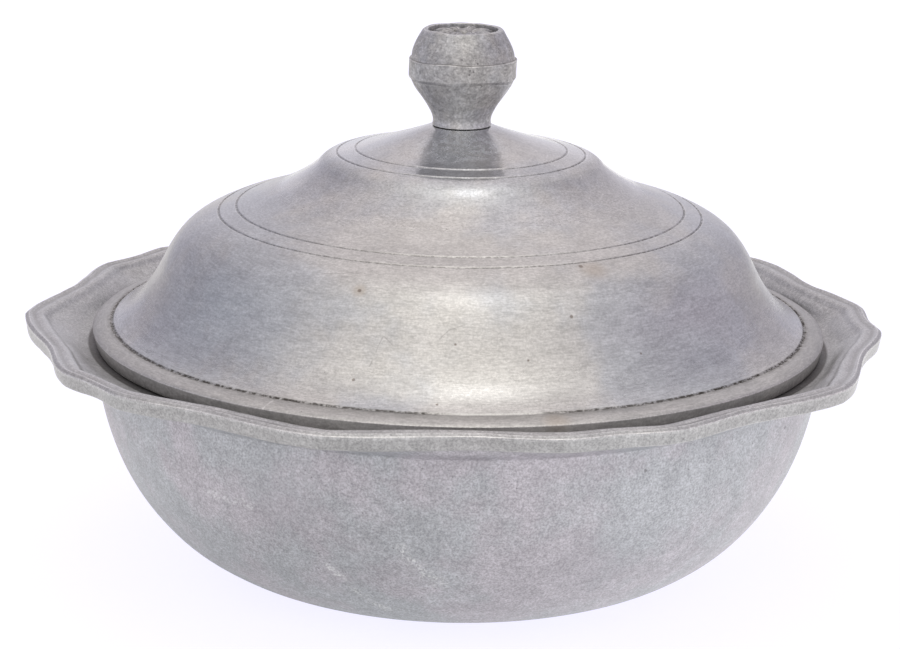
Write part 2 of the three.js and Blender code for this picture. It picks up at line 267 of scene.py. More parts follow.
class KnobSizes(bpy.types.PropertyGroup):
    """Sizes of the turned knob."""

    height: length("Height", 0.0316, "Height of the knob above its foot")
    foot: length("Foot radius", 0.0097, "Radius of the knob's foot")
    waist: length("Waist radius", 0.0095, "Radius of the knob's waist")
    band_radius: length("Band radius", 0.0178, "Radius of the raised band")
    band_bottom: length("Band bottom", 0.015, "Height of the band's lower edge")
    band_height: length("Band height", 0.007, "Height of the band")
    band_step: length("Band step", 0.0009, "How far the band stands proud")
    band_wave: length("Band wave", 0.0006, "How far the band's hand-cut edges wander up and down")
    lip_radius: length("Lip radius", 0.0134, "Radius of the lip round the top")
    lip_width: length("Lip width", 0.0019, "Width of that lip")
    dish: length("Dish", 0.0018, "Depth of the recessed top")
    petals: bpy.props.IntProperty(
        name="Petals", default=8, min=3, max=24, description="Petals of the rosette on the top"
    )
    relief: length("Relief", 0.0019, "Height of the rosette")


class FinishSettings(bpy.types.PropertyGroup):
    """Colours of the metals."""

    bowl_cool: colour("Bowl, cool", (0.41, 0.422, 0.45), "Blue-grey clouds of the bowl's skin")
    bowl_mauve: colour("Bowl, mauve", (0.438, 0.422, 0.458), "Mauve clouds of the bowl's skin")
    rim_metal: colour("Rim", (0.41, 0.41, 0.412), "Warmer, lightly polished rim")
    lid_warm: colour("Lid, warm", (0.485, 0.477, 0.468), "Warm patches of the lid")
    lid_cool: colour("Lid, cool", (0.445, 0.454, 0.476), "Lilac patches of the lid")
    flange_metal: colour("Flange", (0.425, 0.418, 0.41), "Warm grey of the lid's flange")
    knob_warm: colour("Knob, warm", (0.442, 0.434, 0.428), "Warm patches of the knob")
    knob_cool: colour("Knob, cool", (0.416, 0.421, 0.444), "Lilac patches of the knob")
    worn: colour("Worn", (0.78, 0.77, 0.77), "Ridges that are worn bright")
    # This dark colour is also laid as painted shade at the seam round the lid and on the lid flange's outer
    # face.
    dirt: colour("Dirt", (0.055, 0.048, 0.042), "Dirt in the grooves")
    screw_metal: colour("Screw", (0.33, 0.32, 0.31), "Plain steel of the screw and washer")


class StageSettings(bpy.types.PropertyGroup):
    """Camera and studio."""

    camera_place: bpy.props.FloatVectorProperty(
        name="Camera", size=3, subtype="TRANSLATION", unit="LENGTH",
        default=(-0.04181, -0.91104, 0.32268), description="Where the camera stands",
    )
    camera_turn: bpy.props.FloatVectorProperty(
        name="Camera angles", size=3, subtype="EULER", unit="ROTATION",
        default=(math.radians(75.1527), math.radians(-0.9879), math.radians(-2.1981)),
        description="Which way the camera looks",
    )
    lens: bpy.props.FloatProperty(
        name="Lens", default=112.73, min=1.0, description="Focal length in millimetres on a 36 mm frame"
    )
    floor_size: length("Floor", 6.0, "Length of a side of the floor")
    key_light: bpy.props.FloatProperty(
        name="Key light", default=0.9, min=0.0, description="Brightness of the soft box, where paper is 1"
    )


class CoveredBowlSettings(bpy.types.PropertyGroup):
    """All sizes and colours that can be changed."""

    bowl: bpy.props.PointerProperty(type=BowlSizes, name="Bowl", description="Bowl sizes")
    lid: bpy.props.PointerProperty(type=LidSizes, name="Lid", description="Lid sizes")
    knob: bpy.props.PointerProperty(type=KnobSizes, name="Knob", description="Knob sizes")
    finish: bpy.props.PointerProperty(type=FinishSettings, name="Finishes", description="Metal colours")
    stage: bpy.props.PointerProperty(type=StageSettings, name="Stage", description="Camera and studio")


class Section:
    """A turned piece's section, drawn point by point as radius and height."""

    CORNER_STEPS = 4
    # The most of a side that a round corner may take.
    CORNER_SHARE = 0.45
    # Where the point that holds a corner lies, and how long a side has to be to get one, both in
    # lengths of the round corner.
    HOLD_AT = 1.5
    HOLD_ROOM = 3

    def __init__(self, radius, height):
        self.points = [Vector((radius, 0.0, height))]
        self.rounds = [0.0]

    def to(self, radius, height, rounding=0.0, steps=1):
        """A straight run."""
        start = self.points[-1]
        end = Vector((radius, 0.0, height))
        for i in range(1, steps + 1):
            self.points.append(start.lerp(end, i / steps))
            self.rounds.append(rounding if i == steps else 0.0)

    def bend(self, radius, height, shares, steps, rounding=0.0):
        """A curve whose handles lie at shares of its run and of its rise: one handle, or two."""
        start = self.points[-1]
        end = Vector((radius, 0.0, height))
        across = Vector((end.x - start.x, 0.0, 0.0))
        up = Vector((0.0, 0.0, end.z - start.z))
        first = start + across * shares[0] + up * shares[1]
        if len(shares) == 2:
            first, second = start.lerp(first, 2 / 3), end.lerp(first, 2 / 3)
        else:
            second = start + across * shares[2] + up * shares[3]
        self.points += geometry.interpolate_bezier(start, first, second, end, steps + 1)[1:]
        self.rounds += [0.0] * (steps - 1) + [rounding]

    def reach(self, point, shares, steps, rounding=0.0):
        """A curve to a point, or a straight run where no handles are given."""
        if shares:
            self.bend(point.x, point.z, shares, steps, rounding)
        else:
            self.to(point.x, point.z, rounding, steps)

    def follow(self, points, rounds=None):
        """A line that is already drawn."""
        self.points += points
        self.rounds += rounds or [0.0] * len(points)

    def finished(self):
        """The points, with each marked corner made round and held by close points where they fit."""
        made = [self.points[0]]
        for before, corner, after, rounding in zip(
            self.points, self.points[1:], self.points[2:], self.rounds[1:]
        ):
            if not rounding:
                made.append(corner)
                continue
            back, on = before - corner, after - corner
            room_back, room_on = back.length, on.length
            near = min(rounding, room_back * self.CORNER_SHARE, room_on * self.CORNER_SHARE)
            back, on = back.normalized() * near, on.normalized() * near
            if back.length * self.HOLD_ROOM < room_back:
                made.append(corner + back * self.HOLD_AT)
            for i in range(self.CORNER_STEPS + 1):
                t = i / self.CORNER_STEPS
                made.append(corner + back * (1 - t) ** 2 + on * t ** 2)
            if on.length * self.HOLD_ROOM < room_on:
                made.append(corner + on * self.HOLD_AT)
        made.append(self.points[-1])
        return made


def offset(points, distance):
    """The same line, moved sideways to the left of its run."""
    moved = []
    for i, point in enumerate(points):
        along = (points[min(i + 1, len(points) - 1)] - points[max(i - 1, 0)]).normalized()
        moved.append(point + Vector((-along.z, 0.0, along.x)) * distance)
    return moved


def spun(points, steps):
    """A closed skin, turned about the Z axis, with a place for the numbers on its vertices."""
    bm = bmesh.new()
    for name in (DIRT_AND_SHADE, WEAR, POLISH):
        bm.verts.layers.float.new(name)
    line = [bm.verts.new(point) for point in points]
    edges = [bm.edges.new(pair) for pair in zip(line, line[1:])]
    bmesh.ops.spin(
        bm, geom=line + edges, cent=(0, 0, 0), axis=(0, 0, 1), dvec=(0, 0, 0),
        angle=2 * math.pi, steps=steps, use_merge=True, use_normal_flip=False, use_duplicate=False,
    )
    bmesh.ops.remove_doubles(bm, verts=bm.verts, dist=MERGE_DISTANCE)
    bmesh.ops.recalc_face_normals(bm, faces=bm.faces)
    return bm


def roughen(bm, amount, size, where=None):
    """Moves the skin in and out by a little, as a hand-finished casting does."""
    bm.normal_update()
    moves = []
    for v in bm.verts:
        weight = where(v.co) if where else 1.0
        if weight > 0:
            moves.append((v, v.normal * (noise.noise(v.co / size) * amount * weight)))
    for v, move in moves:
        v.co += move


def paint(bm, name, value):
    """Keeps a number from 0 to 1 on each vertex, and never lowers one that is there."""
    layer = bm.verts.layers.float[name]
    for v in bm.verts:
        v[layer] = max(v[layer], value(v.co))


def weather(bm, soft, sharp, dirt):
    """Wears the ridges and dirties the hollows, by how sharply the skin bends there, in 1/m."""
    wear_layer = bm.verts.layers.float[WEAR]
    dirt_layer = bm.verts.layers.float[DIRT_AND_SHADE]
    bm.normal_update()
    for v in bm.verts:
        bend = 0.0
        for edge in v.link_edges:
            along = edge.other_vert(v).co - v.co
            bend += along.dot(v.normal) / max(along.length_squared, 1e-10)
        v[wear_layer] = max(v[wear_layer], smooth(soft, sharp, -bend))
        v[dirt_layer] = max(v[dirt_layer], smooth(soft, sharp, bend) * dirt)


def finish_piece(bm, name, body, nodes, material):
    """Makes the object, and says which solids it stands for."""
    mesh = bpy.data.meshes.new(name)
    bm.to_mesh(mesh)
    bm.free()
    mesh.shade_smooth()
    mesh.materials.append(material)
    piece = bpy.data.objects.new(name, mesh)
    bpy.context.scene.collection.objects.link(piece)
    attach(piece, body)
    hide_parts(*nodes)


def smooth(low, high, value):
    """0 below low, 1 above high, and eased between them."""
    along = min(1.0, max(0.0, (value - low) / (high - low)))
    return along * along * (3 - 2 * along)


def between(value, start, full, fading, end):
    """1 from full to fading, and eased down to 0 at start and at end."""
    return smooth(start, full, value) * (1 - smooth(fading, end, value))


def from_axis(place):
    """How far a place is from the axis that the pieces are turned about."""
    return math.hypot(place.x, place.y)


class Finish:
    """A material or a world that is built node by node."""

    # What noise is where it counts as low and as high.
    NOISE_SPAN = (0.3, 0.7)
    # Sockets of the Mix node when it mixes colours.
    MIX_FACTOR = 0
    MIX_COLOURS = (6, 7)
    MIX_RESULT = 2

    def __init__(self, owner):
        self.owner = owner
        owner.use_nodes = True
        self.tree = owner.node_tree
        self.tree.nodes.clear()
        self.place = None

    def node(self, kind, inputs=None, **settings):
        made = self.tree.nodes.new(kind)
        for key, value in settings.items():
            setattr(made, key, value)
        for key, value in (inputs or {}).items():
            if isinstance(value, bpy.types.NodeSocket):
                self.tree.links.new(value, made.inputs[key])
            else:
                made.inputs[key].default_value = value
        return made

    def calculate(self, operation, first, second):
        return self.node("ShaderNodeMath", {0: first, 1: second}, operation=operation).outputs[0]

    def sum(self, first, second):
        return self.calculate("ADD", first, second)

    def less(self, first, second):
        return self.calculate("SUBTRACT", first, second)

    def times(self, first, second):
        return self.calculate("MULTIPLY", first, second)

    def most(self, values):
        """The largest of several values."""
        top = values[0]
        for value in values[1:]:
            top = self.calculate("MAXIMUM", top, value)
        return top

    def vector(self, operation, first, second=None, output=0):
        inputs = {0: first}
        if second is not None:
            inputs[1] = second
        return self.node("ShaderNodeVectorMath", inputs, operation=operation).outputs[output]

    def scaled(self, first, scale):
        """A colour or a place, times a number."""
        return self.node("ShaderNodeVectorMath", {0: first, "Scale": scale}, operation="SCALE").outputs[0]

    def span(self, value, low, high, to_low=0.0, to_high=1.0):
        """Eases from to_low to to_high as value goes from low to high."""
        return self.node(
            "ShaderNodeMapRange",
            {"Value": value, "From Min": low, "From Max": high, "To Min": to_low, "To Max": to_high},
            interpolation_type="SMOOTHSTEP",
        ).outputs[0]

    def by_noise(self, value, to_low, to_high):
        """Eases from to_low to to_high as noise goes from low to high."""
        return self.span(value, *self.NOISE_SPAN, to_low, to_high)

    def mix(self, factor, first, second):
        """A colour between two colours, each of them a socket or three numbers."""
        made = self.node("ShaderNodeMix", {self.MIX_FACTOR: factor}, data_type="RGBA")
        for socket, value in zip(self.MIX_COLOURS, (first, second)):
            if isinstance(value, bpy.types.NodeSocket):
                self.tree.links.new(value, made.inputs[socket])
            else:
                made.inputs[socket].default_value = (*value, 1.0)
        return made.outputs[self.MIX_RESULT]

    def lay(self, base, top_colour, mask, strength=1.0):
        """Lays a colour over the base where the mask is 1, as thickly as the strength says."""
        return self.mix(self.times(mask, strength), base, top_colour)

    def shade(self, base, value, low, high):
        """Darkens a colour where the noise is low, and lightens it where it is high."""
        return self.scaled(base, self.by_noise(value, low, high))

    def noise(self, scale, detail, roughness, place=None):
        return self.node(
            "ShaderNodeTexNoise",
            {"Vector": place or self.place, "Scale": scale, "Detail": detail, "Roughness": roughness},
        ).outputs[0]

    def turned_noise(self, turns, across, detail, roughness):
        """Noise that changes slowly round the axis and fast across it, as a lathe's marks do."""
        ring = self.scaled(self.vector("NORMALIZE", self.flat()), turns)
        run = self.times(self.less(self.radius(), self.height()), across)
        place = self.vector("ADD", ring, self.node("ShaderNodeCombineXYZ", {2: run}).outputs[0])
        return self.noise(1.0, detail, roughness, place)

    def spots(self, scale, size, soft):
        """Round spots of a size in metres, at a number of cells to the metre."""
        cells = self.node("ShaderNodeTexVoronoi", {"Vector": self.place, "Scale": scale})
        return self.span(cells.outputs["Distance"], size * scale, (size + soft) * scale, 1.0, 0.0)

    def flat(self):
        """The place, with its height left out."""
        return self.vector("MULTIPLY", self.place, (1.0, 1.0, 0.0))

    def radius(self):
        return self.vector("LENGTH", self.flat(), output="Value")

    def axis(self, number):
        """How far the place is to the right (0), to the back (1) or up (2)."""
        return self.node("ShaderNodeSeparateXYZ", {0: self.place}).outputs[number]

    def height(self):
        return self.axis(2)

    def mark(self, name):
        """A number that is kept on the vertices."""
        return self.node("ShaderNodeAttribute", attribute_name=name).outputs["Fac"]

    def near(self, point, inner, outer, place=None):
        """1 within the inner distance of a point, and 0 beyond the outer one."""
        away = self.vector("DISTANCE", place or self.place, point, output="Value")
        return self.span(away, inner, outer, 1.0, 0.0)

    def near_any(self, spots, place=None):
        """1 within any of several spots."""
        return self.most([self.near(*spot, place) for spot in spots])

    def stroke(self, start, end, inner, outer, place):
        """1 within the inner distance of a straight stroke, and 0 beyond the outer one."""
        run = Vector(end) - Vector(start)
        from_start = self.vector("SUBTRACT", place, start)
        reach = self.vector("DOT_PRODUCT", from_start, tuple(run), output="Value")
        along = self.node(
            "ShaderNodeMath", {0: reach, 1: run.length_squared}, operation="DIVIDE", use_clamp=True
        ).outputs[0]
        nearest = self.vector("ADD", self.scaled(tuple(run), along), start)
        away = self.vector("DISTANCE", place, nearest, output="Value")
        return self.span(away, inner, outer, 1.0, 0.0)

    def wobble(self, scale, amount):
        """The place, moved about by noise, so that a stroke along it isn't straight."""
        wander = self.node("ShaderNodeTexNoise", {"Vector": self.place, "Scale": scale}).outputs["Color"]
        centred = self.vector("SUBTRACT", wander, (0.5, 0.5, 0.5))
        return self.vector("ADD", self.place, self.scaled(centred, amount))

    def seen(self):
        """1 for what the camera sees, straight or through something clear."""
        path = self.node("ShaderNodeLightPath").outputs
        return self.most([path["Is Camera Ray"], path["Is Transmission Ray"]])


class MetalFinish(Finish):
    """A dull metal: mostly mirror-like, and partly powdery, as an old surface is."""

    def __init__(self, name):
        super().__init__(bpy.data.materials.new(name))
        self.place = self.node("ShaderNodeTexCoord").outputs["Object"]

    def done(self, base, roughness, height, depth, metallic=0.7):
        """The finished material, whose fine relief has a depth in metres."""
        normal = self.node("ShaderNodeBump", {"Height": height, "Distance": depth, "Strength": 1.0})
        shader = self.node(
            "ShaderNodeBsdfPrincipled",
            {"Base Color": base, "Metallic": metallic, "Roughness": roughness, "Normal": normal.outputs[0]},
        )
        self.node("ShaderNodeOutputMaterial", {"Surface": shader.outputs[0]})
        return self.owner


def bowl_finish(colours):
    """Matt cast skin with speckle, soft clouds and pale scuffs, warmer and smoother on the rim."""
    finish = MetalFinish("bowl_casting")
    rim = finish.mark(POLISH)
    cloud = finish.noise(26.0, 4.0, 0.6)
    small_cloud = finish.noise(110.0, 3.0, 0.6)
    grain = finish.noise(520.0, 2.0, 0.6)
    speck = finish.noise(1500.0, 2.0, 0.7)
    base = finish.mix(finish.span(cloud, 0.4, 0.6), colours.bowl_cool, colours.bowl_mauve)
    base = finish.lay(base, colours.rim_metal, rim, 0.85)
    base = finish.shade(base, small_cloud, 0.93, 1.07)
    base = finish.shade(base, grain, 0.9, 1.1)
    base = finish.shade(base, speck, 0.78, 1.22)

    # Painted light: the skin is made lighter towards the foot, where the bowl mirrors the bright floor.
    foot = finish.span(finish.height(), *FOOT_LIGHT_HEIGHT, 1.16, 1.0)
    # Painted shade: the rim's outer face is made darker, to dim the light that the glowing floor throws on
    # it.
    shaded_rim_face = finish.times(
        finish.span(finish.radius(), *RIM_SHADE_RADIUS),
        finish.span(finish.height(), *RIM_SHADE_HEIGHT, 1.0, 0.0),
    )
    base = finish.scaled(base, finish.less(foot, finish.times(shaded_rim_face, 0.14)))
    base = finish.lay(base, DARK_CLOUD_COLOUR, finish.near_any(BOWL_DARK_CLOUDS), 0.25)
    pits = finish.times(finish.spots(330.0, 0.00016, 0.0002), finish.span(small_cloud, 0.5, 0.6))
    pits = finish.most([pits, finish.near_any(BOWL_SPECKS)])
    base = finish.lay(base, BOWL_PIT_COLOUR, pits, 0.6)

    broken = finish.span(finish.noise(1100.0, 3.0, 0.75), 0.46, 0.62)
    wandering = finish.wobble(220.0, 0.006)
    scuffs = finish.most([
        finish.times(finish.stroke(start, end, width * 0.2, width, wandering), strength)
        for start, end, width, strength in BOWL_SCUFFS
    ])
    base = finish.lay(base, SCUFF_COLOUR, finish.times(scuffs, broken))

    scratched = finish.span(finish.noise(700.0, 3.0, 0.7), 0.35, 0.6, 0.35, 1.0)
    worn = finish.times(finish.mark(WEAR), scratched)
    base = finish.lay(base, colours.worn, worn, 0.85)
    # Dirt in the rim's grooves, and painted shade in the seam round the lid.
    dirt_and_seam_shade = finish.times(finish.mark(DIRT_AND_SHADE), finish.span(speck, 0.3, 0.6, 0.7, 1.0))
    base = finish.lay(base, colours.dirt, dirt_and_seam_shade, 0.85)

    rough = finish.span(rim, 0.0, 1.0, 0.5, 0.35)
    by_seat = finish.span(finish.radius(), *SEAT_SIDE_RADIUS, 0.2, 0.0)
    rough = finish.sum(rough, finish.times(rim, by_seat))
    rough = finish.sum(rough, finish.by_noise(grain, -0.05, 0.05))
    rough = finish.less(rough, finish.times(worn, 0.1))
    height = finish.sum(finish.times(grain, 0.6), finish.times(speck, 0.4))
    return finish.done(base, rough, finish.less(height, pits), depth=0.00007)


def lid_finish(colours):
    """Satin turned metal: warm and cool patches, short fine streaks, dark broken dirt in the grooves."""
    finish = MetalFinish("lid_casting")
    patches = finish.noise(17.0, 4.0, 0.6)
    small_patches = finish.noise(70.0, 3.0, 0.6)
    streaks = finish.turned_noise(9.0, 300.0, 3.0, 0.6)
    dashes = finish.turned_noise(42.0, 1300.0, 3.0, 0.65)
    rings = finish.turned_noise(3.0, 2600.0, 2.0, 0.5)
    grain = finish.noise(1400.0, 2.0, 0.65)
    cool = finish.times(
        finish.near_any(LID_COOL_SPOTS), finish.span(small_patches, 0.35, 0.6, 0.4, 1.0)
    )
    warmth = finish.less(finish.span(patches, 0.38, 0.62), finish.times(cool, 0.8))
    base = finish.mix(finish.span(warmth, 0.0, 1.0), colours.lid_cool, colours.lid_warm)
    base = finish.lay(base, LID_COOL_COLOUR, cool, 0.5)
    # A pale streaky rubbed patch on the crown's front, partly painted light that lightens the knob's
    # reflection.
    rubbed_and_lit = finish.times(finish.near(*CROWN_RUBBED_LIT_SPOT), finish.span(streaks, 0.3, 0.6, 0.45, 1.0))
    base = finish.lay(base, RUBBED_LIT_COLOUR, rubbed_and_lit, 0.7)
    flange = finish.span(finish.radius(), *FLANGE_RADIUS)
    # Painted shade: the flange is a little lighter at the front and darker towards the sides and back.
    shaded_flange_back = finish.span(finish.axis(1), *FLANGE_SHADE_DEPTH, 1.03, 0.87)
    base = finish.lay(base, finish.scaled(tuple(colours.flange_metal), shaded_flange_back), flange, 0.9)
    base = finish.shade(base, small_patches, 0.95, 1.05)
    base = finish.shade(base, streaks, 0.93, 1.07)
    base = finish.shade(base, dashes, 0.86, 1.12)
    base = finish.shade(base, grain, 0.9, 1.1)
    pitted = finish.sum(small_patches, finish.times(flange, 0.1))
    pits = finish.times(finish.spots(260.0, 0.00015, 0.00018), finish.span(pitted, 0.5, 0.62))
    base = finish.lay(base, LID_PIT_COLOUR, pits, 0.55)

    wandering = finish.wobble(160.0, 0.0012)
    dark = finish.most([finish.stroke(*line, 0.00006, 0.0003, wandering) for line in LID_HAIRLINES])
    base = finish.lay(base, HAIRLINE_COLOUR, dark, 0.4)
    pale = finish.most([finish.stroke(*line, 0.0001, 0.0005, wandering) for line in LID_PALE_LINES])
    base = finish.lay(base, PALE_LINE_COLOUR, pale, 0.6)
    base = finish.lay(base, LID_STAIN_COLOUR, finish.near_any(LID_STAINS, wandering), 0.35)
    dots = finish.near_any(LID_DOTS)
    base = finish.lay(base, LID_DOT_COLOUR, dots, 0.7)

    broken = finish.span(finish.noise(650.0, 3.0, 0.75), 0.38, 0.58, 0.2, 1.0)
    strong = finish.span(finish.turned_noise(1.6, 0.0, 1.0, 0.5), 0.4, 0.6, 0.75, 1.0)
    strong = finish.less(strong, finish.times(finish.near(*GROOVE_WORN_SPOT), 0.8))
    # Dirt in the grooves, and painted shade on the flange's outer face.
    dirt = finish.times(finish.times(finish.mark(DIRT_AND_SHADE), broken), finish.span(strong, 0.0, 1.0))
    worn = finish.times(finish.mark(WEAR), finish.span(grain, 0.35, 0.65, 0.3, 1.0))
    base = finish.lay(base, colours.worn, worn, 0.5)
    base = finish.lay(base, colours.dirt, dirt)

    rough = finish.span(finish.mark(POLISH), 0.0, 1.0, 0.31, 0.17)
    rough = finish.sum(rough, finish.by_noise(streaks, -0.03, 0.05))
    rough = finish.sum(rough, finish.times(finish.most([cool, flange, rubbed_and_lit]), 0.1))
    rough = finish.sum(rough, finish.times(dirt, 0.3))
    height = finish.sum(finish.times(rings, 0.4), finish.times(dashes, 0.6))
    height = finish.less(height, finish.most([pits, dots]))
    return finish.done(base, rough, height, depth=0.00004, metallic=0.86)


def knob_finish(colours):
    """Satin knob with a painted shade on its front, pits and dirt along the band."""
    finish = MetalFinish("knob_metal")
    patches = finish.noise(75.0, 4.0, 0.65)
    mottle = finish.noise(420.0, 3.0, 0.7)
    grain = finish.noise(1300.0, 2.0, 0.7)
    rings = finish.turned_noise(9.0, 1300.0, 3.0, 0.6)
    base = finish.mix(finish.span(patches, 0.38, 0.62), colours.knob_cool, colours.knob_warm)
    base = finish.lay(base, KNOB_WARM_COLOUR, finish.near(*KNOB_WARM_SPOT), 0.3)
    # Painted shade: a darker patch on the knob's front, where the soft box lights it.
    base = finish.lay(base, KNOB_FRONT_SHADE_COLOUR, finish.near(*KNOB_FRONT_SHADE_SPOT), 0.6)
    recess = finish.times(
        finish.span(finish.radius(), *RECESS_RADIUS, 1.0, 0.0), finish.span(finish.height(), *RECESS_HEIGHT)
    )
    base = finish.lay(base, RECESS_COLOUR, recess, 0.45)
    # Painted light and shade: the knob is lighter low down, where it mirrors the lid, and darker at the
    # top, where the soft box lights it.
    base = finish.scaled(base, finish.span(finish.height(), *KNOB_LIGHT_SHADE_HEIGHT, 1.16, 0.93))
    base = finish.shade(base, mottle, 0.82, 1.18)
    base = finish.shade(base, rings, 0.88, 1.12)
    base = finish.shade(base, grain, 0.8, 1.2)
    pits = finish.times(finish.spots(480.0, 0.00022, 0.0002), finish.span(patches, 0.42, 0.6))
    base = finish.lay(base, KNOB_PIT_COLOUR, pits, 0.6)
    worn = finish.times(finish.mark(WEAR), finish.span(mottle, 0.35, 0.6, 0.25, 1.0))
    base = finish.lay(base, colours.worn, worn, 0.6)
    dirt = finish.times(finish.mark(DIRT_AND_SHADE), finish.span(grain, 0.35, 0.6, 0.35, 1.0))
    base = finish.lay(base, colours.dirt, dirt, 0.8)
    rough = finish.by_noise(patches, 0.42, 0.54)
    height = finish.sum(finish.times(rings, 0.3), finish.times(mottle, 0.7))
    return finish.done(base, rough, finish.less(height, pits), depth=0.00012)


def screw_finish(colours):
    """Turned steel with rings and a little staining."""
    finish = MetalFinish("screw_steel")
    rings = finish.turned_noise(2.0, 5000.0, 2.0, 0.5)
    stain = finish.noise(350.0, 3.0, 0.6)
    base = finish.mix(finish.span(stain, 0.45, 0.7, 0.0, 0.6), colours.screw_metal, STEEL_STAIN_COLOUR)
    rough = finish.by_noise(stain, 0.28, 0.42)
    return finish.done(base, rough, rings, depth=0.00002, metallic=0.95)


def rim_depth(turn, sizes, crisp):
    """How far the rim's edge is drawn in at an angle. Crisp edges have corners, and soft ones waves."""
    lobes = (turn - math.pi) / (2 * math.pi / RIM_LOBES)
    along = 2 * abs(lobes - round(lobes))
    depths = (0.0, sizes.hollow, sizes.shoulder, sizes.notch)
    stretch = next(i for i, stop in enumerate(RIM_STOPS[1:]) if along <= stop)
    low, high = RIM_STOPS[stretch:stretch + 2]
    depth, next_depth = depths[stretch:stretch + 2]
    part = (along - low) / (high - low)
    wave = (1 - math.cos(math.pi * part)) / 2
    corner = math.sin(math.pi / 2 * part)
    if stretch == 1:
        # From the hollow out to the shoulder the edge turns late, and elsewhere it turns early.
        corner = 1 - math.cos(math.pi / 2 * part)
    return depth + (next_depth - depth) * (wave + (corner - wave) * crisp)


class COVEREDBOWL_OT_bowl(bpy.types.Operator):
    """Builds the bowl: a round body and a five-pointed rim with a moulded edge"""

    bl_idname = "covered_bowl.bowl"
    bl_label = "Bowl"

    def execute(self, context):
        settings = context.scene.covered_bowl
        sizes = settings.bowl
        tip = sizes.seat_radius + sizes.rim_reach
        top = sizes.seat_height + sizes.rim_rise
        bm = spun(self.section(sizes, tip, top), BOWL_STEPS)

        def above_seat(place, start, full):
            return smooth(start, full, place.z - sizes.seat_height)

        def beyond_seat(place, start, full):
            return smooth(start, full, from_axis(place) - sizes.seat_radius)

        def groove_dirt(place):
            """Dirt in the grooves of the rim's moulding."""
            if place.z < top - sizes.rim_edge * 0.6:
                return 0.0
            inwards = tip - from_axis(place)
            return max(
                thick * (1 - smooth(spread * 0.4, spread, abs(inwards - at)))
                for at, spread, thick in RIM_GROOVES
            )

        def seam_shade(place):
            """Painted shade on the ledge, at the foot of the cove, where the gap round the lid's edge is
            dark.
            """
            out = from_axis(place) - sizes.seat_radius
            return between(out, -0.004, -0.003, 0.0001, 0.0007) * above_seat(place, -0.001, -0.0005)

        def polished(place):
            return beyond_seat(place, -0.0009, 0.0001) * above_seat(place, -0.0015, 0.0005)

        paint(bm, DIRT_AND_SHADE, groove_dirt)
        self.draw_rim(bm, sizes, tip)
        roughen(bm, 0.00022, 0.009, lambda place: beyond_seat(place, 0.0016, 0.0056))
        roughen(bm, 0.00025, 0.03, lambda place: smooth(0.004, 0.01, place.z))
        paint(bm, POLISH, polished)
        paint(bm, DIRT_AND_SHADE, seam_shade)
        weather(bm, 900, 2800, 0.0)
        finish_piece(bm, "bowl_casting", "bowl", ["bowl"], bowl_finish(settings.finish))
        return {"FINISHED"}

    def section(self, sizes, tip, top):
        """From the middle of the base out, up under the rim, over it, and down the inside."""
        body = Section(sizes.base_radius, 0.0)
        mouth = (sizes.seat_radius - sizes.mouth_inset, sizes.seat_height - sizes.mouth_drop)
        body.bend(*mouth, BODY_CURVE, steps=44)
        inside = offset(body.points, sizes.wall)
        inside.reverse()
        ledge_bevel = 0.0006

        section = Section(0.0, 0.0)
        section.to(sizes.base_radius, 0.0, steps=6)
        section.follow(body.points[1:])
        # The corner where the body meets the underside of the rim.
        section.rounds[-1] = 0.0006
        section.bend(tip - sizes.rim_undercut, top - sizes.rim_edge, UNDER_RIM_CURVE, 14, 0.0005)
        for inwards, down, rounding in RIM_MOULDING:
            section.to(tip - inwards, top - down, rounding)
        section.bend(sizes.seat_radius, sizes.seat_height, RIM_COVE_CURVE, 12, 0.0004)
        section.to(inside[0].x + ledge_bevel, sizes.seat_height, 0.0003, steps=2)
        section.to(inside[0].x, sizes.seat_height - ledge_bevel, 0.0003)
        section.follow(inside[1:])
        section.to(0.0, sizes.wall, steps=6)
        return section.finished()

    def draw_rim(self, bm, sizes, tip):
        """Draws the round rim in between its points, less at the front corners, and shifts it."""
        for v in bm.verts:
            radius = from_axis(v.co)
            pull = smooth(sizes.seat_radius, tip - sizes.moulding, radius)
            if pull > 0:
                crisp = 1 - smooth(tip - sizes.moulding, tip, radius) * RIM_FACE_SOFTNESS
                front_corner = smooth(0.0, 0.035, -v.co.y) * smooth(0.03, 0.08, abs(v.co.x))
                depth = rim_depth(math.atan2(v.co.y, v.co.x), sizes, crisp)
                drawn = pull * (depth - sizes.rim_fullness * front_corner)
                v.co.x *= 1 - drawn / radius
                v.co.y *= 1 - drawn / radius
                v.co.x -= pull * sizes.rim_shift


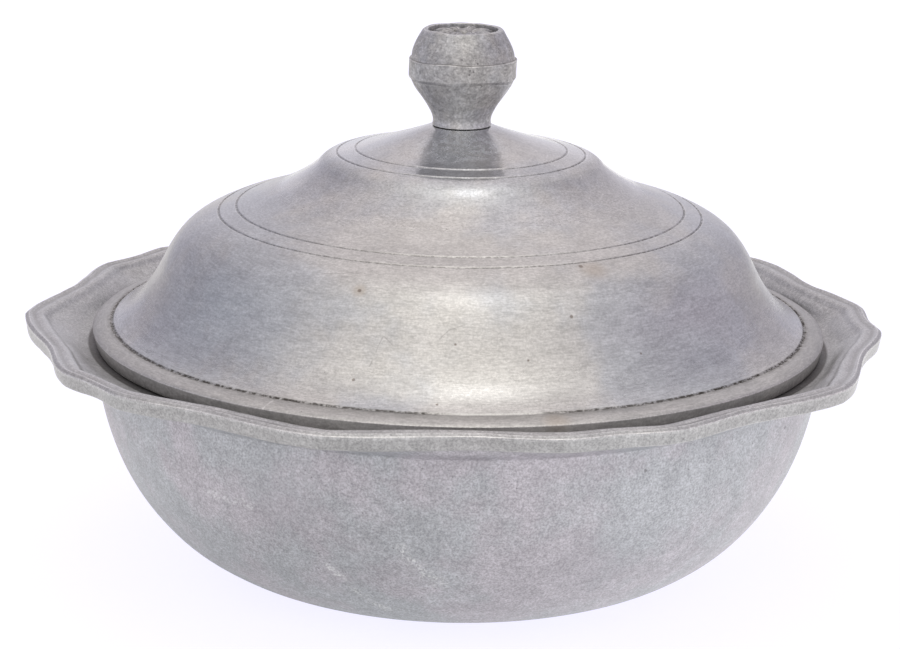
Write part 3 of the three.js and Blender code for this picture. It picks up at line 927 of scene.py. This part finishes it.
class COVEREDBOWL_OT_lid(bpy.types.Operator):
    """Builds the lid: a crown and a dome with turned grooves, and a thick flat-edged flange"""

    bl_idname = "covered_bowl.lid"
    bl_label = "Lid"

    def execute(self, context):
        settings = context.scene.covered_bowl
        sizes = settings.lid
        radius = settings.bowl.seat_radius - sizes.play
        foot = settings.bowl.seat_height + sizes.lift
        knob_seat = foot + sizes.height
        neck = settings.knob.foot + 0.0008

        def on_lid(ring):
            return Vector((radius * ring[0], 0.0, foot + sizes.height * ring[1]))

        crown = [on_lid(ring) for ring in CROWN_GROOVES]
        shoulder = on_lid(LID_SHOULDER)
        dome = [on_lid(ring) for ring in DOME_GROOVES]
        flank = on_lid(LID_FLANK)
        flange = [on_lid(FLANGE_GROOVE), Vector((radius, 0.0, foot + sizes.edge))]

        face = Section(neck, knob_seat)

        def groove(pair, at, shares, steps):
            """The face up to a groove at one of a pair of points, and the groove, along their line."""
            along = (pair[1] - pair[0]).normalized() * sizes.groove / 2
            face.reach(pair[at] - along, shares, steps, GROOVE_EDGE)
            face.to(pair[at].x, pair[at].z - sizes.groove_depth, GROOVE_BOTTOM)
            face.reach(pair[at] + along, None, 1, GROOVE_EDGE)

        groove(crown, 0, CROWN_CURVE, 12)
        groove(crown, 1, None, 4)
        face.reach(shoulder, LID_SHOULDER_CURVE, 6)
        groove(dome, 0, LID_COVE_CURVE, 24)
        groove(dome, 1, None, 4)
        face.reach(flank, FLANK_CURVE, 18)
        groove(flange, 0, FLARE_CURVE, 16)
        face.reach(flange[1], FLANGE_CURVE, 6, 0.0007)

        inner = Section(neck, knob_seat)
        for end, shares, steps in (
            (crown[0], CROWN_CURVE, 8), (crown[1], None, 2), (shoulder, LID_SHOULDER_CURVE, 4),
            (dome[0], LID_COVE_CURVE, 14), (dome[1], None, 2), (flank, FLANK_CURVE, 12),
            (flange[0], FLARE_CURVE, 12),
        ):
            inner.reach(end, shares, steps)
        boss_face = knob_seat - sizes.boss_depth
        underside_edge = radius - sizes.flange
        lining = [
            point for point in offset(inner.points, -sizes.wall)
            if sizes.boss_radius < point.x < underside_edge and point.z < boss_face
        ]
        lining.reverse()

        section = Section(sizes.bore, knob_seat)
        section.to(neck, knob_seat, steps=3)
        section.follow(face.points[1:], face.rounds[1:])
        section.to(radius - sizes.undercut, foot, 0.0005, steps=4)
        section.to(underside_edge, foot, 0.0004, steps=2)
        section.follow(lining)
        section.to(sizes.boss_radius, boss_face, 0.0003)
        section.to(sizes.bore, boss_face, steps=2)
        section.to(sizes.bore, knob_seat, steps=2)
        bm = spun(section.finished(), LID_STEPS)

        def lid_dirt_and_shade(place):
            """Dirt in the grooves, most in the one by the flange, and painted shade on the flange's outer
            face below its upper edge, darkest at its foot, where it mirrors the dark cove.
            """
            out = from_axis(place)
            most = 0.0
            for point, (thick, spread) in zip(crown + dome + flange[:1], LID_GROOVE_DIRT):
                away = math.hypot(out - point.x, place.z - point.z + sizes.groove_depth)
                most = max(most, thick * (1 - smooth(spread * 0.5, spread, away)))
            shade_under_arris = smooth(radius - 0.0013, radius - 0.0007, out)
            shade_under_arris *= 1 - smooth(foot + 0.0024, foot + 0.0044, place.z)
            darkest_below = 0.25 + 0.4 * (1 - smooth(foot, foot + 0.0015, place.z))
            return max(most, shade_under_arris * darkest_below)

        def polished(place):
            out = from_axis(place)
            flare = between(out, *FLARE_POLISH) * FLARE_POLISH_SHARE
            return max(flare, between(out, *COVE_POLISH), 1 - smooth(*CROWN_POLISH, out))

        paint(bm, DIRT_AND_SHADE, lid_dirt_and_shade)
        paint(bm, POLISH, polished)
        weather(bm, 500, 2500, 0.0)
        roughen(bm, 0.0002, 0.035)
        finish_piece(bm, "lid_casting", "lid", ["lid"], lid_finish(settings.finish))
        return {"FINISHED"}


class COVEREDBOWL_OT_knob(bpy.types.Operator):
    """Builds the turned knob, with a rosette in its recessed top"""

    bl_idname = "covered_bowl.knob"
    bl_label = "Knob"

    # How deep the hole for the screw is.
    BORE_DEPTH = 0.012
    # Shares of the recess's radius that the rosette's middle and its ring of petals take up, and the
    # width of a petal's vein as a share of half a petal.
    MIDDLE = 0.24
    RING = 0.68
    VEIN = 0.12

    def execute(self, context):
        settings = context.scene.covered_bowl
        sizes = settings.knob
        foot = settings.bowl.seat_height + settings.lid.lift + settings.lid.height + settings.lid.lift
        top = foot + sizes.height
        floor = top - sizes.dish
        inner = sizes.band_radius - sizes.band_step
        band_foot = foot + sizes.band_bottom
        band_top = band_foot + sizes.band_height
        dish_radius = sizes.lip_radius - sizes.lip_width
        bore = settings.lid.bore

        section = Section(0.0, foot + self.BORE_DEPTH)
        section.to(bore, foot + self.BORE_DEPTH, steps=2)
        section.to(bore, foot, steps=4)
        section.to(sizes.foot, foot, 0.0002, steps=3)
        section.to(sizes.waist, foot + 0.0016, 0.001, steps=2)
        section.bend(inner - 0.0003, band_foot - 0.0002, KNOB_CUP_CURVE, 26, 0.0001)
        section.to(inner - 0.0002, band_foot + 0.0001, 0.0001)
        section.to(sizes.band_radius - 0.0003, band_foot + 0.001, 0.0004)
        section.to(sizes.band_radius - 0.0001, band_top - 0.0009, 0.0003, steps=6)
        section.to(sizes.band_radius, band_top, 0.0002)
        section.to(inner + 0.0002, band_top + 0.0001, 0.0004)
        section.bend(sizes.lip_radius, top - 0.0005, KNOB_CAP_CURVE, 22, 0.0003)
        section.to(sizes.lip_radius - 0.0005, top, 0.0002)
        section.to(dish_radius, top, 0.0002, steps=2)
        section.to(dish_radius - 0.0002, floor, 0.0003, steps=3)
        section.to(0.0, floor, steps=36)
        bm = spun(section.finished(), KNOB_STEPS)

        for v in bm.verts:
            out = from_axis(v.co)
            if v.co.z > floor - 1e-5 and out < dish_radius - 0.0006:
                turn = math.atan2(v.co.y, v.co.x)
                v.co.z += sizes.relief * self.rosette(out / dish_radius, turn, sizes.petals)
            for edge, seed in ((band_foot, 3.0), (band_top, 8.0)):
                close = 1 - smooth(0.0012, 0.0028, abs(v.co.z - edge))
                if close > 0 and out > sizes.lip_radius:
                    round_place = Vector((v.co.x / out * 1.6, v.co.y / out * 1.6, seed))
                    v.co.z += close * sizes.band_wave * noise.noise(round_place)

        def recess_dirt(place):
            """Dirt on the floor of the recess, between the petals."""
            up = place.z - floor
            inside = 1 - smooth(-0.0002, 0.0002, from_axis(place) - dish_radius)
            return 0.8 * between(up, -0.0004, -0.0003, 0.0, sizes.relief * 0.7) * inside

        roughen(bm, 0.0003, 0.006, lambda place: smooth(foot + 0.004, foot + 0.01, place.z))
        paint(bm, DIRT_AND_SHADE, recess_dirt)
        weather(bm, 1000, 3000, 0.8)
        finish_piece(bm, "knob", "lid", ["knob"], knob_finish(settings.finish))
        return {"FINISHED"}

    def rosette(self, out, turn, petals):
        """Height share of a plain rosette: a domed middle and a ring of petals with a vein each."""
        if out < self.MIDDLE:
            return math.sqrt(max(0.0, 1 - (out / self.MIDDLE) ** 2))
        along = (out - self.MIDDLE) / self.RING
        if along >= 1:
            return 0.0
        side = abs((turn * petals / math.pi) % 2 - 1)
        width = math.sin(math.pi * along ** 0.7) * 0.95 + 0.05
        body = math.sqrt(max(0.0, 1 - (side / width) ** 2))
        swell = math.sin(math.pi * along)
        vein = 0.3 * math.exp(-((side / self.VEIN) ** 2)) * swell
        return max(0.0, body * (0.35 + 0.5 * swell) - vein)


class COVEREDBOWL_OT_fasteners(bpy.types.Operator):
    """Gives the screw and the washer inside the lid their steel"""

    bl_idname = "covered_bowl.fasteners"
    bl_label = "Screw and washer"

    def execute(self, context):
        material = screw_finish(context.scene.covered_bowl.finish)
        for name in ("knob_screw", "knob_washer"):
            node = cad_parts[name]
            node.data.materials.clear()
            node.data.materials.append(material)
        return {"FINISHED"}


class COVEREDBOWL_OT_stage(bpy.types.Operator):
    """Sets the floor, the soft light, the white surroundings and the camera"""

    bl_idname = "covered_bowl.stage"
    bl_label = "Stage"

    def execute(self, context):
        scene = context.scene
        stage = scene.covered_bowl.stage
        self.floor(stage.floor_size)
        self.surroundings(scene)
        self.lamp("lamp_key", KEY_PLACE, KEY_SIZE, stage.key_light)

        camera = bpy.data.cameras.new("camera")
        camera.lens = stage.lens
        camera.clip_start = 0.01
        view = bpy.data.objects.new("camera", camera)
        view.location = stage.camera_place
        view.rotation_euler = stage.camera_turn
        scene.collection.objects.link(view)
        scene.camera = view
        scene.view_settings.view_transform = "Standard"
        return {"FINISHED"}

    def lamp(self, name, place, size, level):
        """A soft box that hangs at a place and shines at the bowl."""
        light = bpy.data.lights.new(name, "AREA")
        light.shape = "RECTANGLE"
        light.size, light.size_y = size
        light.energy = level * math.pi * size[0] * size[1]
        lamp = bpy.data.objects.new(name, light)
        lamp.location = place
        aim = Vector(LAMP_AIM) - Vector(place)
        lamp.rotation_euler = aim.to_track_quat("-Z", "Y").to_euler()
        bpy.context.scene.collection.objects.link(lamp)

    def floor(self, size):
        """A glowing sheet of paper, which the camera sees as white with the bowl's faint shadow."""
        bm = bmesh.new()
        bmesh.ops.create_grid(bm, x_segments=1, y_segments=1, size=size / 2)
        mesh = bpy.data.meshes.new("floor")
        bm.to_mesh(mesh)
        bm.free()
        floor = bpy.data.objects.new("floor", mesh)
        bpy.context.scene.collection.objects.link(floor)

        finish = Finish(bpy.data.materials.new("floor_paper"))
        finish.place = finish.node("ShaderNodeTexCoord").outputs["Object"]
        fibre = finish.noise(500.0, 3.0, 0.55)
        grain = finish.mix(finish.by_noise(fibre, 0.0, 1.0), *PAPER_GREYS)
        across = finish.axis(0)
        glow = finish.most([
            finish.span(across, start, end, level, next_level)
            for (start, level), (end, next_level) in zip(FLOOR_GLOW, FLOOR_GLOW[1:])
        ])
        sideways = finish.node("ShaderNodeMath", {0: across}, operation="ABSOLUTE").outputs[0]
        glow = finish.times(glow, finish.span(sideways, *FLOOR_FADE, 1.0, 0.0))

        def glowing(grey, light, strength):
            """A matt sheet that also gives off light."""
            matt = finish.node("ShaderNodeBsdfDiffuse", {"Color": grey})
            lit = finish.node("ShaderNodeEmission", {"Color": (*light, 1.0), "Strength": strength})
            return finish.node("ShaderNodeAddShader", {0: matt.outputs[0], 1: lit.outputs[0]}).outputs[0]

        plain = glowing(grain, WHITE, glow)
        seen = glowing((*SEEN_GREY, 1.0), SEEN_GLOW, 1.0)
        mixed = finish.node("ShaderNodeMixShader", {0: finish.seen(), 1: plain, 2: seen}).outputs[0]
        finish.node("ShaderNodeOutputMaterial", {"Surface": mixed})
        mesh.materials.append(finish.owner)

    def surroundings(self, scene):
        """White where the camera sees it, a white backdrop behind the bowl, and a few broad soft lights."""
        scene.world = bpy.data.worlds.new("studio")
        studio = Finish(scene.world)
        direction = studio.node("ShaderNodeTexCoord").outputs["Generated"]
        level = AMBIENT
        for aim, narrowness, light_colour in SOFT_LIGHTS:
            facing = studio.vector("DOT_PRODUCT", direction, aim, output="Value")
            lobe = studio.calculate("POWER", studio.most([facing, 0.0]), narrowness)
            level = studio.vector("ADD", level, studio.scaled(light_colour, lobe))
        glossy = studio.node("ShaderNodeLightPath").outputs["Is Glossy Ray"]
        behind = studio.vector("DOT_PRODUCT", direction, (0.0, 1.0, 0.0), output="Value")
        backdrop = studio.times(glossy, studio.span(behind, *BACKDROP))
        level = studio.vector("MAXIMUM", level, studio.scaled(WHITE, backdrop))
        shown = studio.mix(studio.seen(), level, WHITE)
        light = studio.node("ShaderNodeBackground", {"Color": shown, "Strength": 1.0})
        studio.node("ShaderNodeOutputWorld", {"Surface": light.outputs[0]})


class COVEREDBOWL_PT_panel(bpy.types.Panel):
    """Lists the pieces and their sizes"""

    bl_label = "Covered bowl"
    bl_idname = "COVEREDBOWL_PT_panel"
    bl_space_type = "VIEW_3D"
    bl_region_type = "UI"
    bl_category = "Covered bowl"

    def draw(self, context):
        settings = context.scene.covered_bowl
        for operator, group in (
            (COVEREDBOWL_OT_bowl, settings.bowl), (COVEREDBOWL_OT_lid, settings.lid),
            (COVEREDBOWL_OT_knob, settings.knob), (COVEREDBOWL_OT_fasteners, settings.finish),
            (COVEREDBOWL_OT_stage, settings.stage),
        ):
            box = self.layout.box()
            box.operator(operator.bl_idname)
            for name in group.bl_rna.properties.keys():
                if name not in ("rna_type", "name"):
                    box.prop(group, name)


OPERATORS = (
    COVEREDBOWL_OT_bowl, COVEREDBOWL_OT_lid, COVEREDBOWL_OT_knob,
    COVEREDBOWL_OT_fasteners, COVEREDBOWL_OT_stage,
)
CLASSES = (
    BowlSizes, LidSizes, KnobSizes, FinishSettings, StageSettings, CoveredBowlSettings,
    *OPERATORS, COVEREDBOWL_PT_panel,
)


def register():
    for cls in CLASSES:
        bpy.utils.register_class(cls)
    bpy.types.Scene.covered_bowl = bpy.props.PointerProperty(type=CoveredBowlSettings)


def unregister():
    del bpy.types.Scene.covered_bowl
    for cls in reversed(CLASSES):
        bpy.utils.unregister_class(cls)


def main():
    register()
    for operator in (
        bpy.ops.covered_bowl.bowl, bpy.ops.covered_bowl.lid, bpy.ops.covered_bowl.knob,
        bpy.ops.covered_bowl.fasteners, bpy.ops.covered_bowl.stage,
    ):
        operator()


if __name__ == "__main__":
    main()
